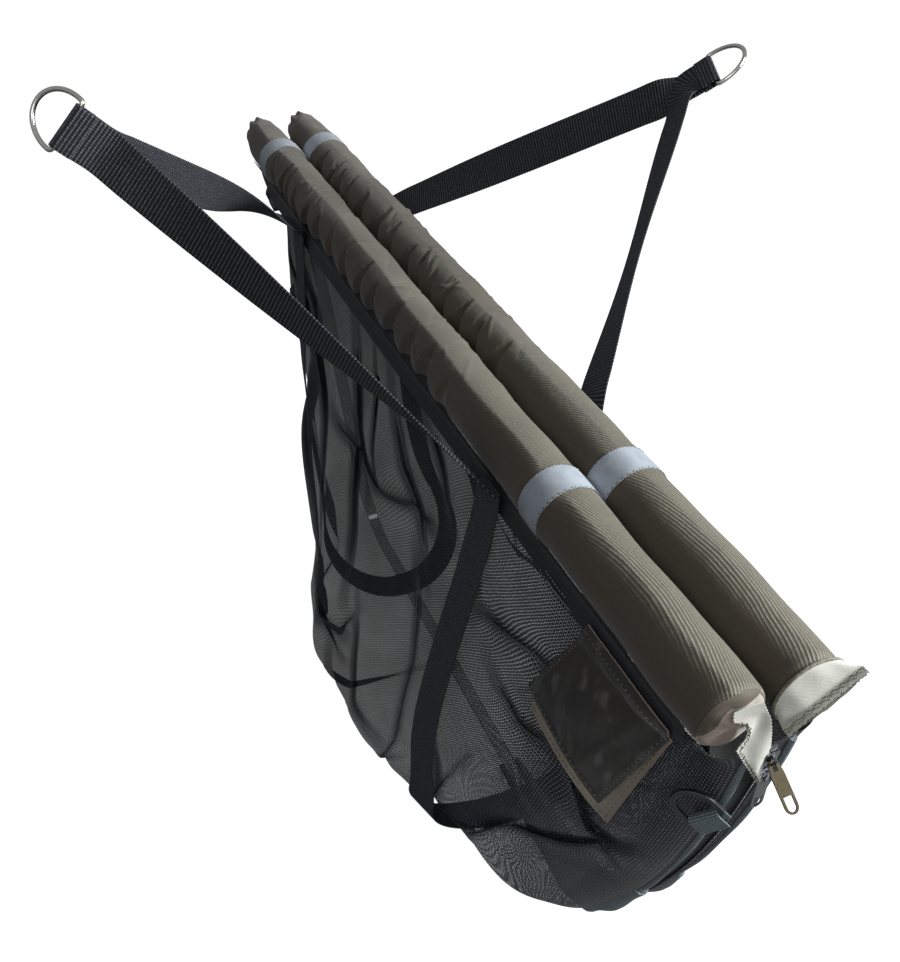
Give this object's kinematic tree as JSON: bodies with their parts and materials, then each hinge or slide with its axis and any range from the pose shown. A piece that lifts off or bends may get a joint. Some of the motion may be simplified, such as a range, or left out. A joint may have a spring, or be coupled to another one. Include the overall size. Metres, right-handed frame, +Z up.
{
  "type": "weigh sling",
  "caption": "Long zipped mesh sling with foam floats, webbing handles and D-rings, for lifting and weighing a landed fish.",
  "frame": {"origin": "the scale hook, midway between the two D-rings, 0.21 m above the floats' axes", "axes": "+X along the floats towards the zip end, +Z up, -Y the side with the pocket"},
  "size_m": [1.1453, 0.6653, 0.7494],
  "materials": {
    "foam": "matte",
    "olive_fabric": "matte",
    "pale_fabric": "matte",
    "reflective": "satin",
    "netting": "matte",
    "webbing": "matte",
    "zip_tape": "matte",
    "zip_coil": "satin",
    "nickel": "polished",
    "gunmetal": "satin",
    "black_plastic": "satin"
  },
  "bodies": {
    "seam": {"far_end_binding": "webbing", "bottom_binding": "webbing", "left_zip_tape": "zip_tape", "right_zip_tape": "zip_tape", "left_zip_coil": "zip_coil", "right_zip_coil": "zip_coil", "zip_top_stop": "zip_coil", "zip_bottom_stop": "zip_coil"},
    "left_side": {"left_float_core": "foam", "left_sleeve": "olive_fabric", "left_far_reflective_band": "reflective", "left_near_reflective_band": "reflective", "left_far_flank_netting": "netting", "left_far_belly_netting": "netting", "left_middle_flank_netting": "netting", "left_middle_belly_netting": "netting", "left_near_flank_netting": "netting", "left_near_belly_netting": "netting", "left_far_belly_strap": "webbing", "left_near_belly_strap": "webbing", "left_end_cover": "olive_fabric", "left_end_fold": "pale_fabric", "pocket_back": "olive_fabric", "pocket_front": "olive_fabric", "plastic_ring_tab": "webbing"},
    "right_side": {"right_float_core": "foam", "right_sleeve": "olive_fabric", "right_far_reflective_band": "reflective", "right_near_reflective_band": "reflective", "right_far_flank_netting": "netting", "right_far_belly_netting": "netting", "right_middle_flank_netting": "netting", "right_middle_belly_netting": "netting", "right_near_flank_netting": "netting", "right_near_belly_netting": "netting", "right_far_belly_strap": "webbing", "right_near_belly_strap": "webbing", "right_end_flap": "pale_fabric"},
    "left_handle": {"left_handle": "webbing", "left_ring_tab": "webbing"},
    "right_handle": {"right_handle": "webbing", "right_ring_tab": "webbing"},
    "left_ring": {"left_ring": "nickel"},
    "right_ring": {"right_ring": "nickel"},
    "plastic_ring": {"plastic_ring": "black_plastic"},
    "upper_slider": {"upper_slider": "gunmetal"},
    "lower_slider": {"lower_slider": "gunmetal"},
    "upper_pull": {"upper_pull": "gunmetal"},
    "lower_pull": {"lower_pull": "gunmetal"}
  },
  "joints": [
    {"name": "left_mouth", "type": "hinge", "parent": "seam", "child": "left_side", "pos_m": [0, 0, -0.7082], "axis": [1, 0, 0], "range_deg": [0, 12]},
    {"name": "right_mouth", "type": "hinge", "parent": "seam", "child": "right_side", "pos_m": [0, 0, -0.7082], "axis": [-1, 0, 0], "range_deg": [0, 12]},
    {"name": "left_handle_swing", "type": "hinge", "parent": "left_side", "child": "left_handle", "pos_m": [0, -0.0605, -0.228], "axis": [-1, 0, 0], "range_deg": [-95, 40]},
    {"name": "right_handle_swing", "type": "hinge", "parent": "right_side", "child": "right_handle", "pos_m": [0, 0.0605, -0.228], "axis": [1, 0, 0], "range_deg": [-90, 40]},
    {"name": "left_ring_swing", "type": "hinge", "parent": "left_handle", "child": "left_ring", "pos_m": [0, -0.304, 0.016], "axis": [0, 0.7078, 0.7064], "range_deg": [-50, 150]},
    {"name": "right_ring_swing", "type": "hinge", "parent": "right_handle", "child": "right_ring", "pos_m": [0, 0.309, -0.016], "axis": [0.9135, -0.3094, -0.264], "range_deg": [-100, 100]},
    {"name": "plastic_ring_swing", "type": "hinge", "parent": "left_side", "child": "plastic_ring", "pos_m": [0.55268, -0.03031, -0.314], "axis": [0.4564, 0.4894, 0.7431], "range_deg": [0, 140]},
    {"name": "upper_slider_travel", "type": "hinge", "parent": "seam", "child": "upper_slider", "pos_m": [-0.52697, 0, -0.14294], "axis": [0, 1, 0], "range_deg": [0, 10.4]},
    {"name": "lower_slider_travel", "type": "hinge", "parent": "upper_slider", "child": "lower_slider", "pos_m": [-0.52697, 0, -0.14294], "axis": [0, 1, 0], "range_deg": [0, 10.4]},
    {"name": "upper_pull_swing", "type": "hinge", "parent": "upper_slider", "child": "upper_pull", "pos_m": [0.56466, 0, -0.25253], "axis": [0, -1, 0], "range_deg": [-25, 65]},
    {"name": "lower_pull_swing", "type": "hinge", "parent": "lower_slider", "child": "lower_pull", "pos_m": [0.56271, 0, -0.27052], "axis": [0, -1, 0], "range_deg": [-10, 38]}
  ],
  "couplings": [
    {"joint": "right_mouth", "follows": "left_mouth", "ratio": 1}
  ]
}
